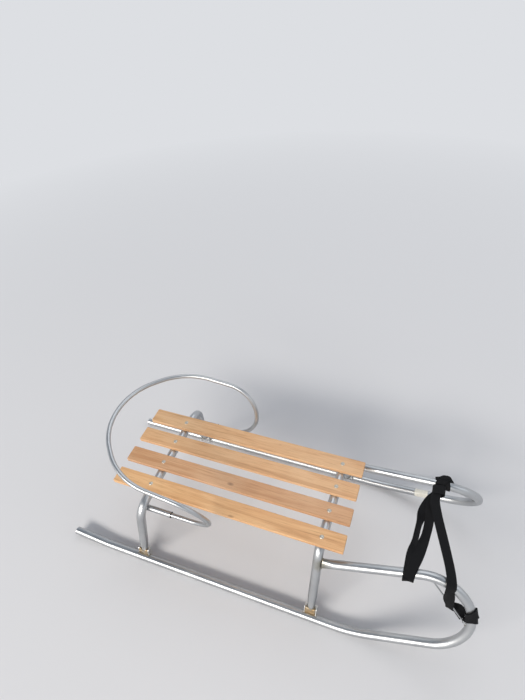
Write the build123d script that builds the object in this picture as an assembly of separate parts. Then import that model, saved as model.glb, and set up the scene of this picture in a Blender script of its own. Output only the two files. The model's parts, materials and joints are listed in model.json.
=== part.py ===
from build123d import *

import math
import os

# Seat slats, in millimetres
seat_length = 640.0
seat_height = 240.0
slat_count = 4
slat_width = 45.7
slat_thickness = 10.0
slat_pitch = 71.6
slat_corner_radius = 3.0
slat_edge_radius = 1.5

# Runner tubes
runner_diameter = 22.0
runner_wall = 1.5
half_track = 218.7
front_reach = 633.0
rear_reach = 463.0
kick_start = 348.0
kick_angle = 4.0
kick_radius = 190.0
rise_start = 370.0
rise_angle = 17.05
rise_radius = 320.0
curl_radius = 100.6
return_angle = 15.26

# Flattened rear end of each return tube, where it meets the front leg
flat_length = 30.0
flat_height = 28.6
flat_width = 13.0

# Arches that carry the seat
arch_diameter = 24.0
arch_wall = 1.5
front_overhang = 58.0
front_shoulder = 24.7
front_bend_radius = 30.0
rear_overhang = 107.0
rear_foot_setback = 18.2
rear_half_width = 176.0
rear_bend_radius = 45.0
front_foot_y = 207.5
rear_foot_y = 206.5
foot_height = 22.5
foot_diameter = 18.5
foot_taper = 38.0

# Foot brackets between the legs and the runners
bracket_length = 32.4
bracket_sheet = 2.5
bracket_depth = 16.0
bracket_rise = 19.5
bracket_drop = 12.0
bracket_shelf = 17.0
bracket_ear_radius = 5.0

# Seat bolts and nuts
bolt_diameter = 6.0
bolt_head_diameter = 11.0
bolt_head_height = 2.0
bolt_clearance = 0.2
nut_flats = 10.0
nut_height = 5.0
bolt_tail = 2.0

# Backrest hoop and its sockets
hoop_diameter = 12.0
hoop_wall = 1.2
hoop_insertion = 86.0
hoop_seat_angle = 52.0
hoop_arm_reach = 209.6
hoop_front_reach = 197.5
hoop_front_y = 191.3
hoop_front_rise = 108.6
hoop_back_setback = 15.5
hoop_back_y = 187.3
hoop_back_rise = 134.8
hoop_top_setback = 123.9
hoop_top_y = 67.5
hoop_top_rise = 145.7
socket_reach = 76.0
socket_outer_diameter = 16.0
socket_running_gap = 0.05
socket_end_wall = 2.0

# Strap, its eye rods and the label
rod_diameter = 3.6
rod_front_angle = -7.8
rod_top_angle = 94.8
strap_width = 25.0
strap_thickness = 1.6
strap_layers = 2
strap_gap = 0.3
label_start = 469.0
label_end = 505.0
label_thickness = 0.25

# Fit between pieces that are only seated
seat_gap = 0.2
socket_seat_gap = 0.3

# Edge of the blocks that trim pieces where they meet another
trim = 100.0

# Sizes that follow from the ones above
runner_radius = runner_diameter / 2
arch_radius = arch_diameter / 2
bar_height = seat_height - slat_thickness - arch_radius
front_half_width = slat_pitch * (slat_count - 1) / 2 + front_shoulder
lean = math.atan((half_track - front_half_width) / (bar_height - runner_radius))
front_arch_x = seat_length / 2 - front_overhang
rear_arch_x = rear_overhang - seat_length / 2
rear_foot_x = rear_arch_x - rear_foot_setback
rear_extreme = rear_reach + runner_radius * math.sin(math.radians(kick_angle))
middle_x = (front_reach - rear_extreme) / 2
curl_x = front_reach - runner_radius - curl_radius
rise = math.radians(rise_angle)
fall = math.radians(return_angle)
curl_s = (curl_radius + (curl_x - rise_start) * math.sin(rise)) / math.cos(rise)


def place(x, y, z):
    """Turns a point measured from the seat's middle into the part's frame."""
    return Vector(x - middle_x, y, z)


def bow_plane(side):
    """Leaning plane of one bow: its x is the part's X, its y runs up the lean."""
    normal = (0, -math.cos(lean), -side * math.sin(lean))
    return Plane(origin=place(0, side * half_track, runner_radius), x_dir=(1, 0, 0), z_dir=normal)


def bow_point(side, x, s):
    """Point of a bow's leaning plane, s millimetres up the lean from the runner's centre."""
    return place(x, side * (half_track - s * math.sin(lean)), runner_radius + s * math.cos(lean))


def curl_point(angle, radius=curl_radius):
    """In-plane point of the curl at an angle in degrees above level."""
    turn = math.radians(angle)
    return (curl_x + radius * math.cos(turn), curl_s + radius * math.sin(turn))


def tube(path, outer, wall):
    """Open round tube swept along a path."""
    start = Plane(origin=path @ 0, z_dir=path % 0)
    ring = Circle(outer / 2) - Circle(outer / 2 - wall)
    return sweep(start * ring, path=path)


def rod(start, end, diameter):
    """Solid straight rod between two points."""
    direction = Vector(end) - Vector(start)
    return Solid.make_cylinder(diameter / 2, direction.length, Plane(origin=start, z_dir=direction))


def bend_radii(points, share=0.49):
    """Largest radius at each corner of a polyline that leaves a short straight run between bends."""
    radii = []
    for before, corner, after in zip(points, points[1:], points[2:]):
        first = Vector(corner) - Vector(before)
        second = Vector(after) - Vector(corner)
        turn = math.radians(first.get_angle(second))
        shorter = min(first.length, second.length)
        radii.append(share * shorter / math.tan(turn / 2))
    return radii


# Runner and its bow: one bent tube, in three stretches that meet end to end
return_start = (curl_x - curl_radius * math.sin(fall), curl_s + curl_radius * math.cos(fall))
rise_end = (curl_x + curl_radius * math.sin(rise), curl_s - curl_radius * math.cos(rise))
return_end_x = front_arch_x + arch_radius + seat_gap


def return_s(x):
    """Height up the lean of the return tube's centre line at a given x."""
    return return_start[1] - (return_start[0] - x) * math.tan(fall)


def ellipse_end(x, width, height):
    """Elliptical section square to the return tube, given in the bow's own plane."""
    section = Plane(origin=(x, return_s(x), 0), x_dir=(0, 0, 1), z_dir=(-math.cos(fall), -math.sin(fall), 0))
    return section * Ellipse(width / 2, height / 2)


def runner(side):
    """Hollow runner tube of one side, from its open rear end to the foot of the curl."""
    rear = (-rear_reach, (rear_reach - kick_start) * math.tan(math.radians(kick_angle)))
    path = FilletPolyline(rear, (-kick_start, 0), (rise_start, 0), rise_end, radius=[kick_radius, rise_radius])
    return bow_plane(side) * tube(path, runner_diameter, runner_wall)


def curl(side):
    """Round part of one bow, from the runner's rise to the return tube."""
    path = ThreePointArc(rise_end, curl_point(36), return_start)
    return bow_plane(side) * tube(path, runner_diameter, runner_wall)


def return_tube(side):
    """Straight tube from the curl back to the front leg, with its squashed open end."""
    flat_start_x = return_end_x + flat_length * math.cos(fall)
    path = Line(return_start, (flat_start_x, return_s(flat_start_x)))
    beyond_x = return_end_x - flat_width
    outer = loft([
        ellipse_end(flat_start_x, runner_diameter, runner_diameter),
        ellipse_end(beyond_x, flat_width, flat_height),
    ])
    bore = runner_diameter - 2 * runner_wall
    inner = loft([
        ellipse_end(flat_start_x, bore, bore),
        ellipse_end(beyond_x, flat_width - 2 * runner_wall, flat_height - 2 * runner_wall),
    ])
    squashed = (outer - inner) - Pos(return_end_x - trim / 2, curl_s, 0) * Box(trim, 4 * trim, trim)
    return bow_plane(side) * (tube(path, runner_diameter, runner_wall) + squashed)


# Arches that carry the seat, with tapered feet that stand on the brackets
def leg_plane(side, foot_x, foot_y, corner):
    """Plane square to the runner at one leg's foot: its x runs outwards and its y up the leg."""
    foot = place(foot_x, side * foot_y, foot_height)
    up = Vector(0, corner.Y - foot.Y, corner.Z - foot.Z).normalized()
    return Plane(origin=foot, x_dir=Vector(0, up.Z, -up.Y), z_dir=(1, 0, 0))


def arch(bar_x, foot_x, foot_y, half_width, bend_radius):
    """Upside-down U of tube, bolted through its bar and cut flat to sit on the foot brackets."""
    corners = [place(bar_x, side * half_width, bar_height) for side in (-1, 1)]
    planes = [leg_plane(side, foot_x, foot_y, corner) for side, corner in zip((-1, 1), corners)]
    ups = [(corner - plane.origin).normalized() for corner, plane in zip(corners, planes)]
    cut = bracket_shelf + seat_gap
    starts = [plane.origin + up * (cut + foot_taper) for plane, up in zip(planes, ups)]
    path = FilletPolyline(starts[0], corners[0], corners[1], starts[1], radius=bend_radius)
    body = tube(path, arch_diameter, arch_wall)
    for plane, up, start in zip(planes, ups, starts):
        length = foot_taper + cut
        tip = arch_radius - (arch_radius - foot_diameter / 2) * length / foot_taper
        cone = Solid.make_cone(arch_radius, tip, length, Plane(origin=start, z_dir=-up))
        bore = Solid.make_cone(arch_radius - arch_wall, tip - arch_wall, length, Plane(origin=start, z_dir=-up))
        below = plane * Pos(0, cut - trim / 2, 0) * Box(trim, trim, trim)
        body = body + (cone - bore - below)
    for row in range(slat_count):
        at = place(bar_x, slat_pitch * (row - (slat_count - 1) / 2), bar_height - arch_diameter)
        body = body - Solid.make_cylinder(bolt_diameter / 2 + bolt_clearance, 2 * arch_diameter, Plane(at))
    return body


# Foot bracket: a small box of sheet, open at its sides, that stands on the runner and carries the leg
def foot_bracket(side, bar_x, foot_x, foot_y, half_width):
    """Two ears notched to sit on the runner, joined by the shelf that the leg stands on."""
    plane = leg_plane(side, foot_x, foot_y, place(bar_x, side * half_width, bar_height))
    runner_at = plane.to_local_coords(place(foot_x, side * half_track, runner_radius))
    height = bracket_rise + bracket_drop
    ear = Pos(0, bracket_rise - height / 2) * Rectangle(bracket_depth, height)
    ear = fillet(ear.vertices().group_by(Axis.Y)[-1], bracket_ear_radius)
    ear = ear - Pos(runner_at.X, runner_at.Y) * Circle(runner_radius + seat_gap)
    ends = (-bracket_length / 2, bracket_length / 2 - bracket_sheet)
    ears = [Pos(0, 0, at) * extrude(ear, bracket_sheet) for at in ends]
    shelf = Pos(0, bracket_shelf - bracket_sheet / 2, 0) * Box(bracket_depth, bracket_sheet, bracket_length)
    return plane * (shelf + ears)


# Seat slats and their fixings
def slat(row):
    """Wooden slat with rounded corners and holes over both arches."""
    y = slat_pitch * (row - (slat_count - 1) / 2)
    board = Box(seat_length, slat_width, slat_thickness)
    board = fillet(board.edges().filter_by(Axis.Z), slat_corner_radius)
    board = fillet(board.edges().group_by(Axis.Z)[-1], slat_edge_radius)
    board = fillet(board.edges().group_by(Axis.Z)[0], slat_edge_radius / 2)
    board = Pos(place(0, y, seat_height - slat_thickness / 2)) * board
    for bar_x in (front_arch_x, rear_arch_x):
        at = place(bar_x, y, seat_height - 2 * slat_thickness)
        hole = Solid.make_cylinder(bolt_diameter / 2 + bolt_clearance, 4 * slat_thickness, Plane(at))
        board = board - hole
    return board


def bolt(bar_x, row):
    """Round-head bolt through a slat and the arch's bar below it."""
    at = place(bar_x, slat_pitch * (row - (slat_count - 1) / 2), seat_height)
    length = slat_thickness + arch_diameter + nut_height + bolt_tail
    ball = ((bolt_head_diameter / 2) ** 2 + bolt_head_height ** 2) / (2 * bolt_head_height)
    dome = Sphere(ball) & Pos(0, 0, ball) * Box(3 * ball, 3 * ball, 2 * bolt_head_height)
    dome = Pos(0, 0, bolt_head_height - ball) * dome
    dome = dome & Pos(0, 0, bolt_head_height) * Box(3 * ball, 3 * ball, 2 * bolt_head_height)
    shank = Pos(0, 0, -length / 2) * Cylinder(bolt_diameter / 2, length)
    return Pos(at) * (dome + shank)


def nut(bar_x, row):
    """Hexagon nut under the arch's bar."""
    at = place(bar_x, slat_pitch * (row - (slat_count - 1) / 2), bar_height - arch_radius - nut_height)
    blank = extrude(RegularPolygon(nut_flats / 2, 6, major_radius=False), nut_height)
    blank = blank - Pos(0, 0, nut_height / 2) * Cylinder(bolt_diameter / 2 + 0.02, 2 * nut_height)
    return Pos(at) * blank


# Backrest hoop that plugs into two sockets in the bends of the rear arch
socket_bore = hoop_diameter / 2 + socket_running_gap
socket_front_x = rear_arch_x + socket_reach
socket_rear_x = socket_front_x - hoop_insertion - seat_gap - socket_end_wall
rear_corner = place(rear_arch_x, rear_half_width, bar_height)
rear_leg = (place(rear_foot_x, rear_foot_y, foot_height) - rear_corner).normalized()
rear_tangent = rear_bend_radius * math.tan(math.acos(rear_leg.Y) / 2)
bend_middle_y = rear_half_width - rear_tangent
bend_middle_z = bar_height - rear_bend_radius * math.cos(math.atan(rear_leg.X / rear_leg.Z))
seat_reach = rear_bend_radius - arch_radius - socket_outer_diameter / 2 - socket_seat_gap
hoop_arm_y = bend_middle_y + seat_reach * math.cos(math.radians(hoop_seat_angle))
hoop_arm_height = bend_middle_z + seat_reach * math.sin(math.radians(hoop_seat_angle))


def backrest_hoop():
    """Bent tube of the backrest, one piece from socket to socket."""
    side_points = [
        (socket_front_x - hoop_insertion, hoop_arm_y, hoop_arm_height),
        (rear_arch_x + hoop_arm_reach, hoop_arm_y, hoop_arm_height),
        (rear_arch_x + hoop_front_reach, hoop_front_y, seat_height + hoop_front_rise),
        (rear_arch_x - hoop_back_setback, hoop_back_y, seat_height + hoop_back_rise),
        (rear_arch_x - hoop_top_setback, hoop_top_y, seat_height + hoop_top_rise),
    ]
    left = [place(*point) for point in side_points]
    right = [Vector(point.X, -point.Y, point.Z) for point in reversed(left)]
    points = left + right
    path = FilletPolyline(*points, radius=bend_radii(points))
    return tube(path, hoop_diameter, hoop_wall)


def socket(side):
    """Blind tube that takes one end of the hoop."""
    start = place(socket_rear_x, side * hoop_arm_y, hoop_arm_height)
    length = socket_front_x - socket_rear_x
    plane = Plane(origin=start, z_dir=(1, 0, 0))
    body = Solid.make_cylinder(socket_outer_diameter / 2, length, plane)
    bore_plane = Plane(origin=start + Vector(socket_end_wall, 0, 0), z_dir=(1, 0, 0))
    return body - Solid.make_cylinder(socket_bore, length, bore_plane)


# Eye rod across the inside of each curl
def eye_rod(side, diameter=rod_diameter):
    """Thin rod from the front of the curl to its top, cut to meet the tube."""
    top = bow_point(side, *curl_point(rod_top_angle))
    front = bow_point(side, *curl_point(rod_front_angle))
    return rod(front, top, diameter) - bow_plane(side) * (
        Pos(curl_x, curl_s, 0) * Torus(curl_radius, runner_radius + seat_gap)
    )


# Label band on the left runner's rising part
def label():
    """Thin blank sleeve round the rising tube."""
    start = bow_point(1, label_start, (label_start - rise_start) * math.tan(rise))
    end = bow_point(1, label_end, (label_end - rise_start) * math.tan(rise))
    inner = runner_radius + 0.05
    return rod(start, end, 2 * (inner + label_thickness)) - rod(start, end, 2 * inner)


# Strap: knot on the left bow, a run to the right bow, a turn round its curl, and a hand loop
knot_from_angle = 77.0
knot_to_angle = 104.0
turn_from_angle = 6.0
turn_to_angle = 25.0
knot_face_y = 98.0
knot_lump = (41.0, 25.0)
knot_lump_at = (509.5, 250.0)
rod_relief = 0.3
tow_start = (502.0, 257.5)
tow_crossing_x = 555.0
tow_drop = 18.0
loop_lower_start = (504.0, 241.0)
loop_upper_start = (515.0, 247.2)
loop_crossing_x = 469.0
loop_end_y = -147.0
turn_lug = 16.0
turn_lug_x = 599.0
wrap_outer = runner_radius + seat_gap + strap_layers * strap_thickness
over = runner_radius + seat_gap + strap_thickness / 2
layer_step = strap_thickness + strap_gap


def ring(side, tube_radius):
    """Solid torus on the centre line of one bow's curl."""
    return bow_plane(side) * (Pos(curl_x, curl_s, 0) * Torus(curl_radius, tube_radius))


def wrap(side, start_angle, end_angle):
    """Sleeve of wrapped strap round part of a curl."""
    arc = ThreePointArc(curl_point(start_angle), curl_point((start_angle + end_angle) / 2), curl_point(end_angle))
    return bow_plane(side) * tube(arc, 2 * wrap_outer, strap_layers * strap_thickness)


def ribbon(points, radii, across):
    """Flat strap swept along a flat route; across is the direction of its width."""
    path = FilletPolyline(*points, radius=radii) if radii else Line(*points)
    section = Plane(origin=path @ 0, x_dir=across, z_dir=path % 0)
    return sweep(section * Rectangle(strap_width, strap_thickness), path=path)


def tube_top(start, x):
    """Where a strap from start lies on the right return tube, and the direction square to both."""
    if x > return_start[0]:
        angle = math.degrees(math.acos((x - curl_x) / curl_radius))
        near, far = curl_point(angle), curl_point(angle - 1)
    else:
        near, far = (x, return_s(x)), (x + 1, return_s(x + 1))
    centre = bow_point(-1, *near)
    along = bow_point(-1, *far) - centre
    square = along.cross(centre - start).normalized()
    square = square if square.Z > 0 else -square
    return centre + square * over, square, along.normalized()


# Run of the strap from the knot to just over the right return tube
tow_from = place(tow_start[0], knot_face_y, tow_start[1])
tow_top, tow_up, tube_along = tube_top(tow_from, tow_crossing_x)
tow_way = (tow_top - tow_from).normalized()
tow_sine = tow_way.cross(tube_along).length
tow_reach = (over + 2 * seat_gap + strap_width / 2 * abs(tow_way.dot(tube_along))) / tow_sine
tow_corner = tow_top + tow_way * tow_reach
tow_end = tow_corner - tow_up * tow_drop
tow_route = [tow_from - tow_way * strap_width, tow_corner, tow_end]

# Hanging stretch below it, down to the fold
fall_route = [
    tow_end - Vector(0, 0, strap_gap),
    Vector(tow_end.X, -152.5, 189.0),
    Vector(tow_end.X, -154.0, 160.0),
    Vector(tow_end.X, -140.5, 160.0),
    Vector(tow_end.X, -139.3, 186.0),
]
fall_lead = (fall_route[0] - fall_route[1]).normalized()

# Turned stretch from behind the fold to the wraps round the curl
turn_route = [
    Vector(tow_end.X + strap_width / 2 + strap_gap, -142.6, 181.0),
    place(turn_lug_x, -148.4, 172.0),
]
turn_way = (turn_route[1] - turn_route[0]).normalized()


def loop_leg(start, lift):
    """Route of one leg of the hand loop over the right return tube, and its upward direction."""
    begin = place(start[0], knot_face_y, start[1])
    top, square, along = tube_top(begin, loop_crossing_x)
    top = top + square * lift
    way = (top - begin).normalized()
    finish = begin + way * ((loop_end_y - begin.Y) / way.Y)
    return begin - way * strap_width, finish, way, square


def behind_knot_face():
    """Block that trims the straps where they leave the knot."""
    return Pos(place(tow_start[0], knot_face_y + trim / 2, knot_lump_at[1])) * Box(2 * trim, trim, trim)


def strap_tow():
    """Flat run from the knot over the right return tube."""
    return ribbon(tow_route, [over], tow_way.cross(tow_up)) - behind_knot_face()


def strap_fall():
    """Hanging stretch from the end of the tow run to the fold."""
    points = [fall_route[0] + fall_lead * strap_width, *fall_route[1:]]
    body = ribbon(points, bend_radii(points, 0.45), (1, 0, 0))
    limit = Plane(origin=tow_end - tow_up * strap_gap, z_dir=tow_up)
    return body - limit * Pos(0, 0, trim / 2) * Box(trim, trim, trim)


def strap_turn():
    """Stretch that runs inside the eye rod to the wraps round the curl."""
    across = turn_way.cross(Vector(0, 0, 1).cross(turn_way)).normalized()
    body = ribbon([turn_route[0], turn_route[1] + turn_way * strap_width], None, across)
    return body - Pos(turn_route[1] + Vector(trim / 2, 0, 0)) * Box(trim, trim, trim)


def strap_loop_lower():
    """Lower leg of the hand loop."""
    begin, finish, way, square = loop_leg(loop_lower_start, 0)
    across = way.cross(square)
    return ribbon([begin, finish], None, across) - behind_knot_face()


def strap_loop_upper():
    """Upper leg of the hand loop, with the fold that closes the loop at its end."""
    begin, finish, way, square = loop_leg(loop_upper_start, layer_step)
    lower_finish = loop_leg(loop_lower_start, 0)[1]
    down = -way.cross(square).cross(way).normalized()
    down = down if down.Z < 0 else -down
    step = abs((lower_finish - finish).dot(down))
    tip = finish + way * step
    route = [begin, tip, tip + down * step, finish + way * (step / 2) + down * step]
    return ribbon(route, [0.49 * step, 0.49 * step], way.cross(down)) - behind_knot_face()


def strap_knot():
    """Closed outer shape of the knot: wraps round the tube and the lump where the straps leave."""
    length, height = knot_lump
    depth = bow_point(1, curl_x, curl_s + curl_radius).Y - knot_face_y
    lump = Pos(place(knot_lump_at[0], knot_face_y + depth / 2, knot_lump_at[1])) * Box(length, depth, height)
    relief = eye_rod(1, rod_diameter + 2 * rod_relief)
    return wrap(1, knot_from_angle, knot_to_angle) + (lump - ring(1, wrap_outer - strap_thickness)) - relief


def strap_turn_wrap():
    """Wrapped strap round the front of the right curl, with the flat where the strap comes in."""
    end = turn_route[1] + Vector(turn_lug / 2, 0, 0)
    lug = Pos(end) * Box(turn_lug, 4 * strap_thickness, strap_width)
    relief = eye_rod(-1, rod_diameter + 2 * rod_relief)
    sleeve = wrap(-1, turn_from_angle, turn_to_angle)
    return sleeve + (lug - ring(-1, wrap_outer - strap_thickness)) - relief


# Build every piece and write it out
pieces = {}
for side, name in ((1, "left"), (-1, "right")):
    pieces["runner_" + name] = runner(side)
    pieces["curl_" + name] = curl(side)
    pieces["return_tube_" + name] = return_tube(side)
    pieces["eye_rod_" + name] = eye_rod(side)
    pieces["backrest_socket_" + name] = socket(side)
    pieces["bracket_front_" + name] = foot_bracket(side, front_arch_x, front_arch_x, front_foot_y, front_half_width)
    pieces["bracket_rear_" + name] = foot_bracket(side, rear_arch_x, rear_foot_x, rear_foot_y, rear_half_width)
pieces["arch_front"] = arch(front_arch_x, front_arch_x, front_foot_y, front_half_width, front_bend_radius)
pieces["arch_rear"] = arch(rear_arch_x, rear_foot_x, rear_foot_y, rear_half_width, rear_bend_radius)
for row in range(slat_count):
    pieces["slat_" + str(row + 1)] = slat(row)
    for bar_x, name in ((front_arch_x, "front"), (rear_arch_x, "rear")):
        pieces["bolt_" + name + "_" + str(row + 1)] = bolt(bar_x, row)
        pieces["nut_" + name + "_" + str(row + 1)] = nut(bar_x, row)
pieces["backrest_hoop"] = backrest_hoop()
pieces["label"] = label()
pieces["strap_knot"] = strap_knot()
pieces["strap_tow"] = strap_tow()
pieces["strap_fall"] = strap_fall()
pieces["strap_turn"] = strap_turn()
pieces["strap_turn_wrap"] = strap_turn_wrap()
pieces["strap_loop_lower"] = strap_loop_lower()
pieces["strap_loop_upper"] = strap_loop_upper()

os.makedirs("parts", exist_ok=True)
for node, shape in pieces.items():
    export_step(shape, "parts/" + node + ".step")
    box = shape.bounding_box()
    print(node, round(shape.volume), [round(v, 1) for v in box.min], [round(v, 1) for v in box.max])
for route in (tow_route, fall_route, turn_route):
    print("route", [[round(v, 1) for v in point] for point in route])
print("strap bend radius", round(over, 2))
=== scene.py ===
"""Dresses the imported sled: finishes, weld beads and a pull strap of woven webbing, in a plain studio."""

import json
import logging
import math
from dataclasses import dataclass, field
from enum import Enum

import bpy
from bpy.types import Material, Node, NodeSocket, NodeTree, Object
from mathutils import Matrix, Vector, noise

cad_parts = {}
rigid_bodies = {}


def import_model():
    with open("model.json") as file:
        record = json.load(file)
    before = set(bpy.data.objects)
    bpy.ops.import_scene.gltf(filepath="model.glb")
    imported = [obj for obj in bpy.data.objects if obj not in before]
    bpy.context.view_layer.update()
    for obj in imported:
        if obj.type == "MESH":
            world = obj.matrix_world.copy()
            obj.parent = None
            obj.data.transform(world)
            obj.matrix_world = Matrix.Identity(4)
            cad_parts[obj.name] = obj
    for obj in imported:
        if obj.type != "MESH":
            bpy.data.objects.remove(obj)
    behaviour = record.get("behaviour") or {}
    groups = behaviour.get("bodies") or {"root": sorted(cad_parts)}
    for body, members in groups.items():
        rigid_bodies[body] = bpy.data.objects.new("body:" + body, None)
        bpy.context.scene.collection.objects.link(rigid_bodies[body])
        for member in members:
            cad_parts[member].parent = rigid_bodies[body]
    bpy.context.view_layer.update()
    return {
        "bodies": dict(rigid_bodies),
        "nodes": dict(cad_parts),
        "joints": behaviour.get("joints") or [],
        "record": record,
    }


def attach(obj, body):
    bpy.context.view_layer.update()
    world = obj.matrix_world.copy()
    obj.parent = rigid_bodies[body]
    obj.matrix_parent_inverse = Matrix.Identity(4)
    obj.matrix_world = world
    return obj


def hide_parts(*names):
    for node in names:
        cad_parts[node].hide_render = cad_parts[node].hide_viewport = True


log = logging.getLogger("scene")

Pair = tuple[float, float]
Point = tuple[float, float, float]
Colour = tuple[float, float, float, float]
Source = Node | NodeSocket | float | Colour
Stops = tuple[tuple[float, str], ...]
Facing = tuple[float, Vector]

MM = 0.001
FRAME_BODY = "frame"
AHEAD = Vector((1, 0, 0))

# Places of a Mix node's colour sockets, because its sockets for numbers have the same names
COLOUR_A, COLOUR_B, COLOUR_OUT = 6, 7, 2


class Slot(Enum):
    """Material slots of the record. Nothing in this script gives them to the added pieces."""

    TUBE = "tube_steel"
    SHEET = "galvanised_sheet"
    WEBBING = "webbing"


# Colours and node trees


def linear(colour: str) -> Colour:
    """Turns an sRGB hex colour into linear values.

    Args:
        colour: Six hex digits.

    Returns:
        Linear red, green, blue and an alpha of 1.
    """
    parts = [int(colour[i : i + 2], 16) / 255 for i in (0, 2, 4)]
    parts = [p / 12.92 if p <= 0.04045 else ((p + 0.055) / 1.055) ** 2.4 for p in parts]
    return (*parts, 1.0)


def every(size_mm: float) -> float:
    """Scale of a pattern whose marks are so many millimetres apart."""
    return 1 / (size_mm * MM)


def feed(tree: NodeTree, node: Node, links: dict) -> None:
    """Gives a node's inputs what feeds them.

    Args:
        tree: Node tree that holds the node.
        node: The node.
        links: Input name or index to a node for its first output, an output socket or a plain value.
    """
    for key, value in links.items():
        if isinstance(value, Node):
            value = value.outputs[0]
        if isinstance(value, NodeSocket):
            tree.links.new(value, node.inputs[key])
        else:
            node.inputs[key].default_value = value


def add(
    tree: NodeTree, kind: str, links: dict | None = None, stops: Stops = (), **settings: object
) -> Node:
    """Adds a node, sets its properties and input values, and links what feeds it.

    Args:
        tree: Node tree that takes the node.
        kind: Blender's node type without the ShaderNode prefix.
        links: What feeds its inputs, in the form that feed takes.
        stops: Pairs of position and hex colour in order, for a colour ramp.
        settings: Properties of the node itself.

    Returns:
        The new node.
    """
    made = tree.nodes.new("ShaderNode" + kind)
    for key, value in settings.items():
        setattr(made, key, value)
    feed(tree, made, links or {})
    if stops:
        elements = made.color_ramp.elements
        while len(elements) < len(stops):
            elements.new(1.0)
        for element, (position, colour) in zip(elements, stops):
            element.position = position
            element.color = linear(colour)
    return made


def noisy(tree: NodeTree, place: Source, scale: float, **values: float) -> Node:
    """Adds a noise over a place, with its other input values by name."""
    return add(tree, "TexNoise", {"Vector": place, "Scale": scale, **values})


def calc(tree: NodeTree, operation: str, *values: Source) -> Node:
    """Adds a sum that works on the values in order."""
    return add(tree, "Math", dict(enumerate(values)), operation=operation)


def remap(tree: NodeTree, value: Source, between: Pair, to: Pair = (0.0, 1.0)) -> Node:
    """Maps the span between two numbers to another span, and holds what lies outside at its ends."""
    ends = {"From Min": between[0], "From Max": between[1], "To Min": to[0], "To Max": to[1]}
    return add(tree, "MapRange", {"Value": value, **ends})


def blend(tree: NodeTree, base: Source, over: Source, share: Source, kind: str = "MIX") -> NodeSocket:
    """Lays a share of one colour over another, and gives the socket of the colour that results."""
    links = {"Factor": share, COLOUR_A: base, COLOUR_B: over}
    return add(tree, "Mix", links, data_type="RGBA", blend_type=kind).outputs[COLOUR_OUT]


def seen_plainly(tree: NodeTree) -> Node:
    """Finds the rays that come from the camera, and those that a glossy or clear surface sends on.

    Args:
        tree: Node tree that takes the nodes.

    Returns:
        Node that gives 1 for such a ray and 0 for any other.
    """
    ray = add(tree, "LightPath").outputs
    sent = calc(tree, "MAXIMUM", ray["Is Glossy Ray"], ray["Is Transmission Ray"])
    return calc(tree, "MAXIMUM", ray["Is Camera Ray"], sent)


@dataclass(frozen=True)
class Finish:
    """One finish: makes its material once, under its own name."""

    name: str

    def material(self) -> Material:
        """Gives the finish's material, which the first call builds.

        Returns:
            The material.
        """
        found = bpy.data.materials.get(self.name)
        if found:
            return found
        made = bpy.data.materials.new(self.name)
        made.use_nodes = True
        self.build(made.node_tree, made.node_tree.nodes["Principled BSDF"])
        return made

    def build(self, tree: NodeTree, shader: Node) -> None:
        """Fills the material's node tree round its principled shader, as each kind of finish does."""
        raise NotImplementedError


@dataclass(frozen=True)
class SatinTube(Finish):
    """Zinc-plated drawn steel tube: even blue-grey silver, satin, with a straw tint where it was welded.

    The tint lies round the weld of a return tube on its leg, on both sides alike. Lengths are in metres.
    """

    weld_at: Point = (0.190, 0.149, 0.185)
    tint_to: float = 0.034
    tint_wander: float = 0.016
    tint_share: float = 0.6

    def build(self, tree: NodeTree, shader: Node) -> None:
        """Clouded grey with a satin grain, and the tint by its distance from the weld.

        Args:
            tree: The material's node tree.
            shader: Its principled shader.
        """
        place = add(tree, "TexCoord").outputs["Object"]
        cloud = noisy(tree, place, every(70), Detail=3.0, Roughness=0.5)
        # Drawing marks are finer than this, which is as coarse as the highlights need
        grain = noisy(tree, place, every(0.8), Detail=2.0)
        tone = add(tree, "ValToRGB", {"Fac": cloud}, ((0.35, "B7B9BB"), (0.65, "C4C6C7")))
        folded = add(tree, "VectorMath", {0: place}, operation="ABSOLUTE")
        gap = add(tree, "VectorMath", {0: folded, 1: self.weld_at}, operation="SUBTRACT")
        signed = add(tree, "VectorMath", {0: place, 1: self.weld_at}, operation="SUBTRACT")
        ahead = add(tree, "SeparateXYZ", {0: signed})
        aside = add(tree, "SeparateXYZ", {0: gap})
        joined = add(tree, "CombineXYZ", {0: ahead, 1: aside.outputs[1], 2: aside.outputs[2]})
        far = add(tree, "VectorMath", {0: joined}, operation="LENGTH").outputs["Value"]
        patch = noisy(tree, place, every(11), Detail=4.0)
        ragged = calc(tree, "MULTIPLY_ADD", patch, self.tint_wander, far)
        tint = remap(tree, ragged, between=(self.tint_wander, self.tint_to), to=(self.tint_share, 0.0))
        straw = blend(tree, tone, linear("8A8268"), share=tint)
        rough = remap(tree, cloud, between=(0.3, 0.7), to=(0.34, 0.4))
        bump = add(tree, "Bump", {"Height": grain, "Strength": 0.03, "Distance": 0.0002})
        feed(tree, shader, {"Base Color": straw, "Roughness": rough, "Normal": bump, "Metallic": 1.0})


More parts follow.
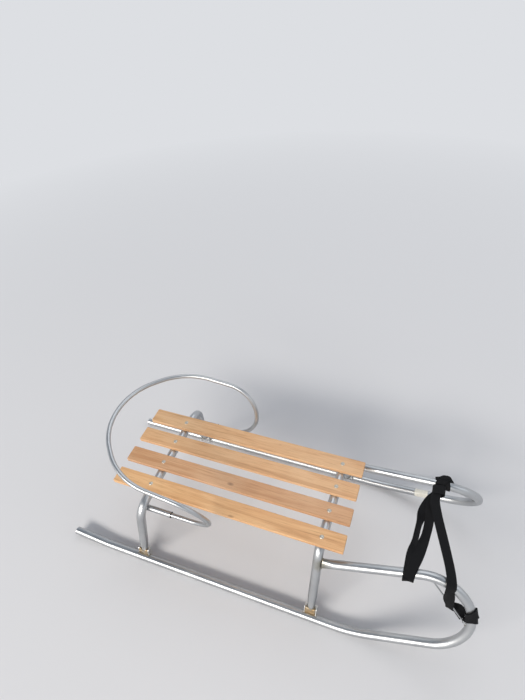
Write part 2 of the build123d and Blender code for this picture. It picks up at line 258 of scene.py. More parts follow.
@dataclass(frozen=True)
class SpangledSheet(Finish):
    """Hot-dip galvanised pressed sheet: bright zinc in small crystals, with rust-tan bloom in clouds."""

    bloom_from: float = 0.46
    bloom_span: float = 0.16
    bloom_share: float = 0.75

    def build(self, tree: NodeTree, shader: Node) -> None:
        """Zinc crystals under the bloom, which lies where a noise is high.

        Args:
            tree: The material's node tree.
            shader: Its principled shader.
        """
        place = add(tree, "TexCoord").outputs["Object"]
        crystals = add(tree, "TexVoronoi", {"Vector": place, "Scale": every(4)}).outputs["Color"]
        cloud = noisy(tree, place, every(11), Detail=5.0)
        zinc = add(tree, "ValToRGB", {"Fac": crystals}, ((0.2, "9C9584"), (0.8, "B9B2A0")))
        reach = (self.bloom_from, self.bloom_from + self.bloom_span)
        bloom = remap(tree, cloud, between=reach, to=(0.0, self.bloom_share))
        mixed = blend(tree, zinc, linear("B08F62"), share=bloom)
        bump = add(tree, "Bump", {"Height": cloud, "Strength": 0.15, "Distance": 0.0006})
        feed(tree, shader, {"Base Color": mixed, "Normal": bump, "Metallic": 0.9, "Roughness": 0.46})


@dataclass(frozen=True)
class Mottled(Finish):
    """Finish whose tone and bump come from one noise. Its marks are in millimetres, its depth in metres."""

    stops: Stops = ()
    mark_mm: float = 1.0
    detail: float = 4.0
    harshness: float = 0.5
    strength: float = 0.5
    depth: float = 0.0002
    metallic: float = 1.0
    roughness: float = 0.5

    def build(self, tree: NodeTree, shader: Node) -> None:
        """One noise through a ramp, and the same noise as bump.

        Args:
            tree: The material's node tree.
            shader: Its principled shader.
        """
        place = add(tree, "TexCoord").outputs["Object"]
        marks = noisy(tree, place, every(self.mark_mm), Detail=self.detail, Roughness=self.harshness)
        tone = add(tree, "ValToRGB", {"Fac": marks}, self.stops)
        bump = add(tree, "Bump", {"Height": marks, "Strength": self.strength, "Distance": self.depth})
        feed(tree, shader, {"Base Color": tone, "Normal": bump})
        feed(tree, shader, {"Metallic": self.metallic, "Roughness": self.roughness})


@dataclass(frozen=True)
class ZincFixing(Mottled):
    """Zinc-plated bolt and nut steel: cool grey, a little dull, finely pitted."""

    stops: Stops = ((0.35, "BDB7AA"), (0.65, "E0DBCF"))
    mark_mm: float = 0.7
    strength: float = 0.2
    roughness: float = 0.44


@dataclass(frozen=True)
class WeldSteel(Mottled):
    """Bare weld metal under zinc: rippled, mottled brown and grey, rough."""

    stops: Stops = ((0.3, "5E5444"), (0.5, "8E8674"), (0.7, "ADA99E"))
    mark_mm: float = 4.5
    detail: float = 6.0
    harshness: float = 0.7
    depth: float = 0.0008
    metallic: float = 0.8
    roughness: float = 0.45


@dataclass(frozen=True)
class PaintedSeamShadow(Mottled):
    """Painted shadow in the gap of a sliding joint: near-black brown, matt, crumbly."""

    stops: Stops = ((0.35, "1E1A17"), (0.65, "4A3B2E"))
    mark_mm: float = 1.7
    strength: float = 0.4
    depth: float = 0.0004
    metallic: float = 0.0
    roughness: float = 0.85


@dataclass(frozen=True)
class LacqueredBeech(Finish):
    """Planed hardwood under clear varnish: pale tan, a shade per board, soft grain, flecks, rare knots.

    Half the seat's width is two boards with their gaps, in metres.
    """

    seat_half: float = 0.1432

    def build(self, tree: NodeTree, shader: Node) -> None:
        """Grain bands, flecks and knots over a slow change of tone, then a shade for each board.

        Args:
            tree: The material's node tree.
            shader: Its principled shader.
        """
        place = add(tree, "TexCoord").outputs["Object"]
        along = add(tree, "Mapping", {"Vector": place, "Scale": (every(320), every(17), every(17))})
        bands = noisy(tree, along, scale=1.0, Detail=6.0, Roughness=0.62, Distortion=0.7)
        pores = add(tree, "Mapping", {"Vector": place, "Scale": (every(62), every(1.6), every(1.6))})
        fleck = noisy(tree, pores, scale=1.0, Detail=3.0, Roughness=0.6)
        slow = noisy(tree, place, every(170), Detail=2.0)
        grain = ((0.30, "C39666"), (0.44, "DCAF80"), (0.56, "E8C092"), (0.72, "D2A472"))
        tone = add(tree, "ValToRGB", {"Fac": bands}, grain)
        warm = add(tree, "ValToRGB", {"Fac": slow}, ((0.35, "EFDCC4"), (0.65, "FFFFFF")))
        shaded = blend(tree, tone, warm, share=0.5, kind="MULTIPLY")
        dark = remap(tree, fleck, between=(0.53, 0.72), to=(0.0, 0.5))
        grained = blend(tree, shaded, linear("8F6236"), share=dark)
        spread = add(tree, "Mapping", {"Vector": place, "Scale": (every(180), every(90), every(90))})
        cells = add(tree, "TexVoronoi", {"Vector": spread, "Scale": 1.0}).outputs["Distance"]
        knot = remap(tree, cells, between=(0.03, 0.075), to=(0.75, 0.0))
        knotted = blend(tree, grained, linear("5E3D22"), share=knot)
        rough = remap(tree, bands, between=(0.3, 0.7), to=(0.4, 0.5))
        bump = add(tree, "Bump", {"Height": fleck, "Strength": 0.12, "Distance": 0.0003})
        across = add(tree, "SeparateXYZ", {0: place}).outputs[1]
        row = remap(tree, across, between=(-self.seat_half, self.seat_half))
        shades = ((0.0, "FFFDF8"), (0.25, "E8E1E5"), (0.5, "F9F9FD"), (0.75, "F8FAFF"))
        board = add(tree, "ValToRGB", {"Fac": row}, shades)
        board.color_ramp.interpolation = "CONSTANT"
        toned = blend(tree, knotted, board, share=1.0, kind="MULTIPLY")
        feed(tree, shader, {"Base Color": toned, "Roughness": rough, "Normal": bump})
        feed(tree, shader, {"Coat Weight": 0.25, "Coat Roughness": 0.25})


@dataclass(frozen=True)
class BlackWebbing(Finish):
    """Woven polypropylene webbing: near-black, ribs across a tight twill, a dull sheen on the yarns."""

    # Such webbing's ribs lie about 1 mm apart: they are drawn as coarse as they need to show
    rib_mm: float = 1.6
    rib_slope: float = 0.8

    def build(self, tree: NodeTree, shader: Node) -> None:
        """Two slanting waves, laid by the ribbon's own map in millimetres.

        Args:
            tree: The material's node tree.
            shader: Its principled shader.
        """
        cloth = add(tree, "SeparateXYZ", {0: add(tree, "UVMap", uv_map="webbing")}).outputs
        turns = 2 * math.pi / self.rib_mm
        across = calc(tree, "MULTIPLY", cloth[0], turns)
        along = calc(tree, "MULTIPLY", cloth[1], turns * self.rib_slope)
        slant = calc(tree, "SINE", calc(tree, "ADD", across, along))
        lean = calc(tree, "SINE", calc(tree, "SUBTRACT", across, along))
        level = remap(tree, calc(tree, "MAXIMUM", slant, lean), between=(-0.4, 1.0))
        tone = add(tree, "ValToRGB", {"Fac": level}, ((0.1, "020203"), (0.6, "08080A"), (1.0, "101115")))
        bump = add(tree, "Bump", {"Height": level, "Strength": 0.6, "Distance": 0.0003})
        feed(tree, shader, {"Base Color": tone, "Normal": bump, "Roughness": 0.8})
        feed(tree, shader, {"Specular IOR Level": 0.25, "Sheen Weight": 0.02, "Sheen Roughness": 0.4})


@dataclass(frozen=True)
class LabelFilm(Finish):
    """Printed film left blank: white, satin, edges a little yellowed."""

    def build(self, tree: NodeTree, shader: Node) -> None:
        """Two off-whites, clouded.

        Args:
            tree: The material's node tree.
            shader: Its principled shader.
        """
        place = add(tree, "TexCoord").outputs["Object"]
        cloud = noisy(tree, place, every(8), Detail=3.0)
        tone = add(tree, "ValToRGB", {"Fac": cloud}, ((0.3, "E4E0D2"), (0.7, "F0EEE6")))
        feed(tree, shader, {"Base Color": tone, "Roughness": 0.35})


@dataclass(frozen=True)
class StudioGround(Finish):
    """Matt pale floor that fades, away from the sled, to the backdrop's colour. Lengths are in metres."""

    fade_from: float = 0.6
    fade_to: float = 3.2

    def build(self, tree: NodeTree, shader: Node) -> None:
        """Plain floor, with an even glow taking over where it is seen far off.

        Args:
            tree: The material's node tree.
            shader: Its principled shader.
        """
        place = add(tree, "TexCoord").outputs["Object"]
        far = add(tree, "VectorMath", {0: place}, operation="LENGTH").outputs["Value"]
        fade = remap(tree, far, between=(self.fade_from, self.fade_to))
        share = calc(tree, "MULTIPLY", fade, seen_plainly(tree))
        glow = add(tree, "Emission", {"Color": linear("DDDFE3"), "Strength": 1.0})
        mixed = add(tree, "MixShader", {0: share, 1: shader, 2: glow})
        feed(tree, tree.nodes["Material Output"], {"Surface": mixed})
        feed(tree, shader, {"Base Color": linear("D6D7DA"), "Roughness": 0.9})


TUBE = SatinTube("satin_zinc_tube")
SHEET = SpangledSheet("galvanised_sheet")
# Bracket faces: the same zinc, with the rust-tan bloom spread wider so that it paints the shade of each
# bracket's recessed middle
BLOOM_AND_SHADE_SHEET = SpangledSheet("sheet_bloom_and_painted_shade", bloom_from=0.36)
FIXING = ZincFixing("zinc_fixing")
WELD = WeldSteel("weld_bead")
SEAM_SHADOW = PaintedSeamShadow("painted_seam_shadow")
WOOD = LacqueredBeech("lacquered_beech")
WEBBING = BlackWebbing("black_webbing")
FILM = LabelFilm("blank_film")
GROUND = StudioGround("studio_ground")


# Mesh helpers


def even_steps(start: float, span: float, count: int) -> list[float]:
    """Numbers at even steps over a span, both of its ends among them."""
    return [start + span * i / (count - 1) for i in range(count)]


def round_steps(count: int) -> list[float]:
    """Angles in radians at even steps all the way round."""
    return [2 * math.pi * i / count for i in range(count)]


def put_in(name: str, data: bpy.types.ID) -> Object:
    """Puts a mesh, curve, lamp or camera in the scene.

    Args:
        name: Object name.
        data: The mesh, curve, lamp or camera.

    Returns:
        Its object.
    """
    made = bpy.data.objects.new(name, data)
    bpy.context.scene.collection.objects.link(made)
    return made


def new_piece(name: str, verts: list[Vector], faces: list[list[int]], finish: Finish) -> Object:
    """Makes a smooth mesh object that rides on the frame.

    Args:
        name: Object name.
        verts: Vertex positions in metres.
        faces: Vertex index lists.
        finish: Its finish.

    Returns:
        The object.
    """
    mesh = bpy.data.meshes.new(name)
    mesh.from_pydata([tuple(v) for v in verts], [], faces)
    mesh.materials.append(finish.material())
    mesh.polygons.foreach_set("use_smooth", [True] * len(mesh.polygons))
    mesh.update()
    made = put_in(name, mesh)
    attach(made, FRAME_BODY)
    return made


def dress(nodes: dict[str, Object], finishes: dict[str, Finish]) -> int:
    """Gives CAD nodes their finishes.

    Args:
        nodes: The CAD nodes' objects by name.
        finishes: Start of a node's name to the finish that it takes.

    Returns:
        How many nodes took one.
    """
    done = 0
    for name, node in nodes.items():
        for start, finish in finishes.items():
            if not name.startswith(start):
                continue
            if not node.material_slots:
                node.data.materials.append(None)
            for held in node.material_slots:
                held.link = "OBJECT"
                held.material = finish.material()
            done += 1
    return done


def nurbs_points(name: str, controls: list[Point]) -> list[Vector]:
    """Reads the line of a smooth NURBS route.

    Args:
        name: Name for the route's curve.
        controls: Control points in metres.

    Returns:
        Points along the line.
    """
    curve = bpy.data.curves.new(name + "_route", "CURVE")
    curve.dimensions = "3D"
    spline = curve.splines.new("NURBS")
    spline.points.add(len(controls) - 1)
    for point, control in zip(spline.points, controls):
        point.co = (*control, 1.0)
    spline.order_u = 3
    spline.use_endpoint_u = True
    spline.resolution_u = 24
    holder = put_in(name + "_route", curve)
    mesh = bpy.data.meshes.new_from_object(holder)
    points = [v.co.copy() for v in mesh.vertices]
    bpy.data.objects.remove(holder)
    bpy.data.meshes.remove(mesh)
    return points


def lengths(points: list[Vector]) -> list[float]:
    """Measures a line.

    Args:
        points: Points along it.

    Returns:
        Its running length at each point.
    """
    total = [0.0]
    for a, b in zip(points, points[1:]):
        total.append(total[-1] + (b - a).length)
    return total


def tangents(points: list[Vector], closed: bool) -> list[Vector]:
    """Finds which way a line runs.

    Args:
        points: Points along it.
        closed: Whether it closes on itself.

    Returns:
        Its unit direction at each point.
    """
    rows = len(points)
    ways = []
    for i, point in enumerate(points):
        before = points[i - 1] if i or closed else point
        after = points[(i + 1) % rows] if i < rows - 1 or closed else point
        ways.append((after - before).normalized())
    return ways


def skin(rows: int, count: int, closed: bool) -> list[list[int]]:
    """Faces of a tube made of rows of points, numbered row by row.

    Args:
        rows: How many rows it has.
        count: Points in a row.
        closed: Whether the last row joins the first. If not, both ends are capped.

    Returns:
        Vertex index lists.
    """
    faces = []
    for i in range(rows if closed else rows - 1):
        here, there = i * count, (i + 1) % rows * count
        for j in range(count):
            beside = (j + 1) % count
            faces.append([here + j, here + beside, there + beside, there + j])
    if not closed:
        faces.append(list(range(count))[::-1])
        faces.append(list(range((rows - 1) * count, rows * count)))
    return faces


def keyed(keys: list[Facing], at: float) -> Vector:
    """Interpolates keyed directions, easing in and out of each.

    Args:
        keys: Pairs of position from 0 to 1 and direction.
        at: Where to read.

    Returns:
        A unit vector.
    """
    for (t0, v0), (t1, v1) in zip(keys, keys[1:]):
        if at <= t1:
            share = (at - t0) / (t1 - t0)
            return v0.lerp(v1, share * share * (3 - 2 * share)).normalized()
    return keys[-1][1].normalized()


def ring_keys(ways: list[Vector]) -> list[Facing]:
    """Keys directions at even steps along a line that closes on itself."""
    return [(i / len(ways), way) for i, way in enumerate(ways)] + [(1.0, ways[0])]


def width_share(keys: tuple[Pair, ...], at: float) -> float:
    """Interpolates keyed shares of a width.

    Args:
        keys: Pairs of position from 0 to 1 and share, or none for the whole width.
        at: Where to read.

    Returns:
        The share there.
    """
    share = 1.0
    for (t0, w0), (t1, w1) in zip(keys, keys[1:]):
        if t0 <= at <= t1:
            share = w0 + (w1 - w0) * (at - t0) / (t1 - t0)
    return share


# Lower face of the webbing's section, from its edge to its middle, as shares of width and thickness
HALF_FACE = [(-0.5, -0.15), (-0.485, -0.42), (-0.42, -0.5), (-0.2, -0.46), (0.0, -0.44)]
LOWER_FACE = HALF_FACE + [(-u, v) for u, v in HALF_FACE[-2::-1]]
SECTION = LOWER_FACE + [(-u, -v) for u, v in LOWER_FACE]


def ribbon(
    name: str,
    points: list[Vector],
    keys: list[Facing],
    width: float = 0.025,
    thickness: float = 0.0016,
    narrow: tuple[Pair, ...] = (),
    closed: bool = False,
) -> Object:
    """Sweeps the webbing's section along a line.

    Args:
        name: Object name.
        points: Line that the ribbon follows.
        keys: Keyed directions of its face, by share of its length.
        width: Width in metres.
        thickness: Thickness in metres.
        narrow: Keyed shares of the width.
        closed: Whether the line closes on itself.

    Returns:
        The ribbon's object, with a UV map in millimetres.
    """
    run = lengths(points)
    verts: list[Vector] = []
    for point, tangent, so_far in zip(points, tangents(points, closed), run):
        share = so_far / run[-1]
        across = tangent.cross(keyed(keys, share)).normalized()
        face = across.cross(tangent).normalized()
        scale = width_share(narrow, share)
        for u, v in SECTION:
            verts.append(point + across * (u * width * scale) + face * (v * thickness))
    count = len(SECTION)
    made = new_piece(name, verts, skin(len(points), count, closed), WEBBING)
    layer = made.data.uv_layers.new(name="webbing")
    for loop in made.data.loops:
        row, column = divmod(loop.vertex_index, count)
        layer.data[loop.index].uv = (SECTION[column][0] * width / MM, run[row] / MM)
    return made


def bead(
    name: str,
    points: list[Vector],
    seed: int,
    radius: float = 0.0013,
    closed: bool = False,
    finish: Finish = WELD,
) -> Object:
    """Lays a rippled bead along a line, thinner at its ends where it has any.

    Args:
        name: Object name.
        points: Line along the joint.
        seed: Offset that makes each bead's lumps its own.
        radius: Bead radius in metres.
        closed: Whether the line closes on itself.
        finish: Its finish.

    Returns:
        The bead's object.
    """
    sides, rows = 10, len(points)
    ripple, ripple_step = 0.22, 1.9
    lump, lumps_per_metre = 0.35, 300
    end_share, end_inset = 0.45, 0.6
    verts = []
    for i, (point, tangent) in enumerate(zip(points, tangents(points, closed))):
        lead = tangent.orthogonal().normalized()
        side = tangent.cross(lead)
        lumps = noise.noise(point * lumps_per_metre + Vector((seed, 0, 0)))
        swell = 1 + ripple * math.sin(i * ripple_step) + lump * lumps
        if not closed:
            along = min(max((i + end_inset) / rows, 0), 1)
            swell *= end_share + (1 - end_share) * math.sin(math.pi * along)
        for turn in round_steps(sides):
            verts.append(point + (lead * math.cos(turn) + side * math.sin(turn)) * radius * swell)
    return new_piece(name, verts, skin(rows, sides, closed), finish)


# Shared shape of the leaning bows, in metres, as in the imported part


@dataclass(frozen=True)
class Bow:
    """Leaning plane of one front bow and the circle of its curl.

    Args:
        side: 1 for left, -1 for right.
    """

    side: int
    lean: float = math.radians(22.7)
    half_track: float = 0.2187
    runner_height: float = 0.011
    curl_x: float = 0.43678
    curl_s: float = 0.15166
    curl_radius: float = 0.1006

    def point(self, x: float, s: float, out: float) -> Vector:
        """Point beside the bow's plane.

        Args:
            x: Distance ahead.
            s: Distance up the lean, from the runner's centre line.
            out: Distance from the plane, on its outer side.

        Returns:
            The point.
        """
        y = self.half_track - s * math.sin(self.lean) + out * math.cos(self.lean)
        z = self.runner_height + s * math.cos(self.lean) + out * math.sin(self.lean)
        return Vector((x, self.side * y, z))

    def round_tube(self, angle: float, turn: float = 0.0, radius: float = 0.0) -> Vector:
        """Point round the curl's tube, on its centre line if no more than the angle is given.

        Args:
            angle: Degrees along the curl, above level.
            turn: Radians round the tube, from the outside of the curl towards the outer side.
            radius: Distance from the tube's centre line.

        Returns:
            The point.
        """
        a = math.radians(angle)
        reach = self.curl_radius + radius * math.cos(turn)
        x, s = self.curl_x + reach * math.cos(a), self.curl_s + reach * math.sin(a)
        return self.point(x, s, radius * math.sin(turn))


# Sub-assemblies


@dataclass
class Metalwork:
    """Runners, arches, brackets, hoop and fixings: CAD nodes with their finishes."""

    frame: dict

    def build(self) -> None:
        """Gives every metal node its finish."""
        finishes = dict.fromkeys(("runner", "curl", "return_tube", "arch", "backrest", "eye_rod"), TUBE)
        finishes |= {"bracket": SHEET, "bolt": FIXING, "nut": FIXING}
        log.info("metalwork: %d nodes", dress(self.frame["nodes"], finishes))


@dataclass
class Welds:
    """Weld beads where legs, brackets, sockets, return tubes and eye rods meet.

    Lengths are in metres unless a name says millimetres, angles in degrees, and places are the left side's.
    A leg is its end's name, the middle of its foot and the start of its bend. A bracket's face is its
    outline, down the outer side and up the inner one: distance out from the leg, height up the leg.
    """

    thick_radius: float = 0.0016
    thin_radius: float = 0.0009
    legs: tuple[tuple[str, Point, Point], ...] = (
        ("front", (0.17738, 0.2075, 0.0225), (0.17738, 0.1321, 0.218)),
        ("rear", (-0.31582, 0.2065, 0.0225), (-0.29762, 0.176, 0.218)),
    )
    shelf: float = 0.0172
    foot_halves: Pair = (0.0098, 0.0086)
    saddle_reach: float = 0.0119
    saddle_from: float = 86.0
    saddle_sweep: float = 70.0
    ear_out: float = 0.0168
    face_wide: float = 0.0284
    face_swell_mm: float = 0.5
    face_mm: tuple[Pair, ...] = (
        (3.0, 18.2), (6.0, 18.2), (7.6, 17.7), (8.4, 16.4), (8.6, 14.0), (8.6, 6.0), (8.3, -3.2),
        (6.9, -3.2), (7.2, 6.0), (7.2, 14.0), (7.0, 15.8), (6.2, 16.6), (3.0, 16.8),
    )
    face_bead_out: float = 0.0088
    face_bead_drop: float = 0.0034
    face_bead_long: float = 0.0260
    socket_at: Point = (-0.2994, 0.1527, 0.1927)
    socket_lean: float = 52.0
    socket_sweep: float = 104.0
    socket_reach: float = 0.0082
    socket_half: float = 0.0035
    socket_flare: float = 0.011
    seam_x: float = -0.2216
    seam_reach: float = 0.0074
    return_at: Pair = (0.1898, 0.1886)
    return_halves: Pair = (0.0068, 0.0146)
    return_bead_wide: float = 0.0104
    rod_angles: Pair = (-7.8, 94.8)
    rod_inset: float = 0.0140
    rod_reach: float = 0.0021

    def build(self) -> None:
        """Lays every bead."""
        seed = 0
        for end, foot, bend in self.legs:
            for side in (-1, 1):
                mirror = Vector((1, side, 1))
                at, top = Vector(foot) * mirror, Vector(bend) * mirror
                rise = Vector((0, top.y - at.y, top.z - at.z)).normalized()
                self.foot(f"weld_foot_{end}_{side + 1}", at, rise, seed)
                self.saddle(f"weld_saddle_{end}_{side + 1}", at.x, side, seed)
                self.face(f"bracket_face_{end}_{side + 1}", at, rise, rise.cross(AHEAD) * side, seed)
                seed += 1
        for side in (-1, 1):
            self.socket(side)
            self.return_end(side)
            self.rod_ends(side)
        log.info("welds: beads on %d legs, sockets, return tubes and rods", seed)

    def foot(self, name: str, at: Vector, rise: Vector, seed: int) -> None:
        """Bead round a leg's cut end, on the shelf of its bracket.

        Args:
            name: Object name.
            at: Middle of the leg's foot.
            rise: Unit direction up the leg.
            seed: Seed of the bead's lumps.
        """
        aside = AHEAD.cross(rise)
        half_long, half_wide = self.foot_halves
        points = []
        for turn in round_steps(count=40):
            point = at + AHEAD * (half_long * math.cos(turn)) + aside * (half_wide * math.sin(turn))
            points.append(point + rise * self.shelf)
        bead(name, points, seed, self.thick_radius, closed=True)

    def saddle(self, name: str, x: float, side: int, seed: int) -> None:
        """Bead outside each ear of a bracket, where it stands on the runner.

        Args:
            name: Start of the objects' names.
            x: Middle of the bracket.
            side: 1 for left, -1 for right.
            seed: Seed of the beads' lumps.
        """
        runner = Bow(side)
        for edge in (-1, 1):
            points = []
            for angle in even_steps(self.saddle_from, self.saddle_sweep, count=15):
                turn = math.radians(angle)
                y = runner.half_track + self.saddle_reach * math.cos(turn)
                z = runner.runner_height + self.saddle_reach * math.sin(turn)
                points.append(Vector((x + edge * self.ear_out, side * y, z)))
            bead(f"{name}_{edge + 1}", points, seed=seed + edge + 7)

    def face(self, name: str, at: Vector, rise: Vector, out: Vector, seed: int) -> None:
        """Folded outer face of a bracket, from its shelf down to a bead on the runner.

        Args:
            name: Object name.
            at: Middle of the leg's foot.
            rise: Unit direction up the leg.
            out: Unit direction away from the sled.
            seed: Seed of the bead's lumps.
        """
        rows = even_steps(-0.5, 1.0, count=9)
        verts = []
        for share in rows:
            along = AHEAD * (self.face_wide * share)
            swell = self.face_swell_mm * math.cos(math.pi * share)
            verts += [at + along + out * ((o + swell) * MM) + rise * (r * MM) for o, r in self.face_mm]
        # The face's wider rust-tan bloom is painted shade of the bracket's recessed middle
        new_piece(name, verts, skin(len(rows), len(self.face_mm), closed=False), BLOOM_AND_SHADE_SHEET)
        low = at + out * self.face_bead_out - rise * self.face_bead_drop
        steps = even_steps(-self.face_bead_long / 2, self.face_bead_long, count=21)
        points = [low + AHEAD * step for step in steps]
        bead(name + "_bead", points, seed=seed + 50)

    def socket(self, side: int) -> None:
        """Beads between a hoop socket and the rear arch's bend, and a ring of painted shadow round the
        socket's open end.

        Args:
            side: 1 for left, -1 for right.
        """
        lean = math.radians(self.socket_lean)
        out = Vector((0, math.cos(lean), math.sin(lean)))
        middle = Vector(self.socket_at)
        for edge in (-1, 1):
            points = []
            for angle in even_steps(-self.socket_sweep / 2, self.socket_sweep, count=15):
                turn = math.radians(angle)
                lead = out * math.cos(turn) + out.cross(AHEAD) * math.sin(turn)
                reach = self.socket_half + self.socket_flare * (1 - math.cos(turn))
                point = middle + lead * self.socket_reach + AHEAD * (edge * reach)
                points.append(Vector((point.x, side * point.y, point.z)))
            bead(f"weld_socket_{side + 1}_{edge + 1}", points, seed=20 + edge)
        # Near-black ring that paints the shadow in the gap at the socket's open end
        rim = []
        for turn in round_steps(count=32):
            y, z = middle.y + self.seam_reach * math.cos(turn), middle.z + self.seam_reach * math.sin(turn)
            rim.append(Vector((self.seam_x, side * y, z)))
        bead(f"seam_socket_{side + 1}", rim, seed=60, radius=self.thin_radius, closed=True, finish=SEAM_SHADOW)

    def return_end(self, side: int) -> None:
        """Beads above and below the squashed end of a return tube, against the front leg.

        Args:
            side: 1 for left, -1 for right.
        """
        bow = Bow(side)
        x, s = self.return_at
        half_wide, half_high = self.return_halves
        for edge in (-1, 1):
            points = []
            for across in even_steps(-self.return_bead_wide / 2, self.return_bead_wide, count=13):
                swell = math.sqrt(max(0.0, 1 - (across / half_wide) ** 2))
                points.append(bow.point(x, s + edge * half_high * swell, across))
            bead(f"weld_return_{side + 1}_{edge + 1}", points, seed=30 + edge)

    def rod_ends(self, side: int) -> None:
        """Bead round each end of an eye rod, inside the curl.

        Args:
            side: 1 for left, -1 for right.
        """
        low, high = (Bow(side).round_tube(angle) for angle in self.rod_angles)
        along = (high - low).normalized()
        for name, end, lead in (("low", low, along), ("high", high, -along)):
            aside = lead.orthogonal().normalized()
            other = lead.cross(aside)
            middle = end + lead * self.rod_inset
            points = []
            for turn in round_steps(count=16):
                points.append(middle + (aside * math.cos(turn) + other * math.sin(turn)) * self.rod_reach)
            bead(f"weld_rod_{name}_{side + 1}", points, seed=40, radius=self.thin_radius, closed=True)


@dataclass
class Seat:
    """Four wooden slats, and the blank label on the left runner."""

    frame: dict

    def build(self) -> None:
        """Gives the slats their wood and the label its film."""
        slats = dress(self.frame["nodes"], {"slat": WOOD})
        dress(self.frame["nodes"], {"label": FILM})
        log.info("seat: %d slats, and the label", slats)


@dataclass(frozen=True)
class Wrap:
    """One turn of webbing round a curl's tube, with its lengths in metres.

    Args:
        name: Object name.
        centre: Degrees along the curl.
        skew: Degrees that the band shifts each way as it goes round.
        phase: Where round the tube it lies furthest up the curl, in degrees.
        radius: Distance of the webbing from the tube's centre line.
        width: Width of the webbing.
    """

    name: str
    centre: float
    skew: float
    phase: float
    radius: float
    width: float


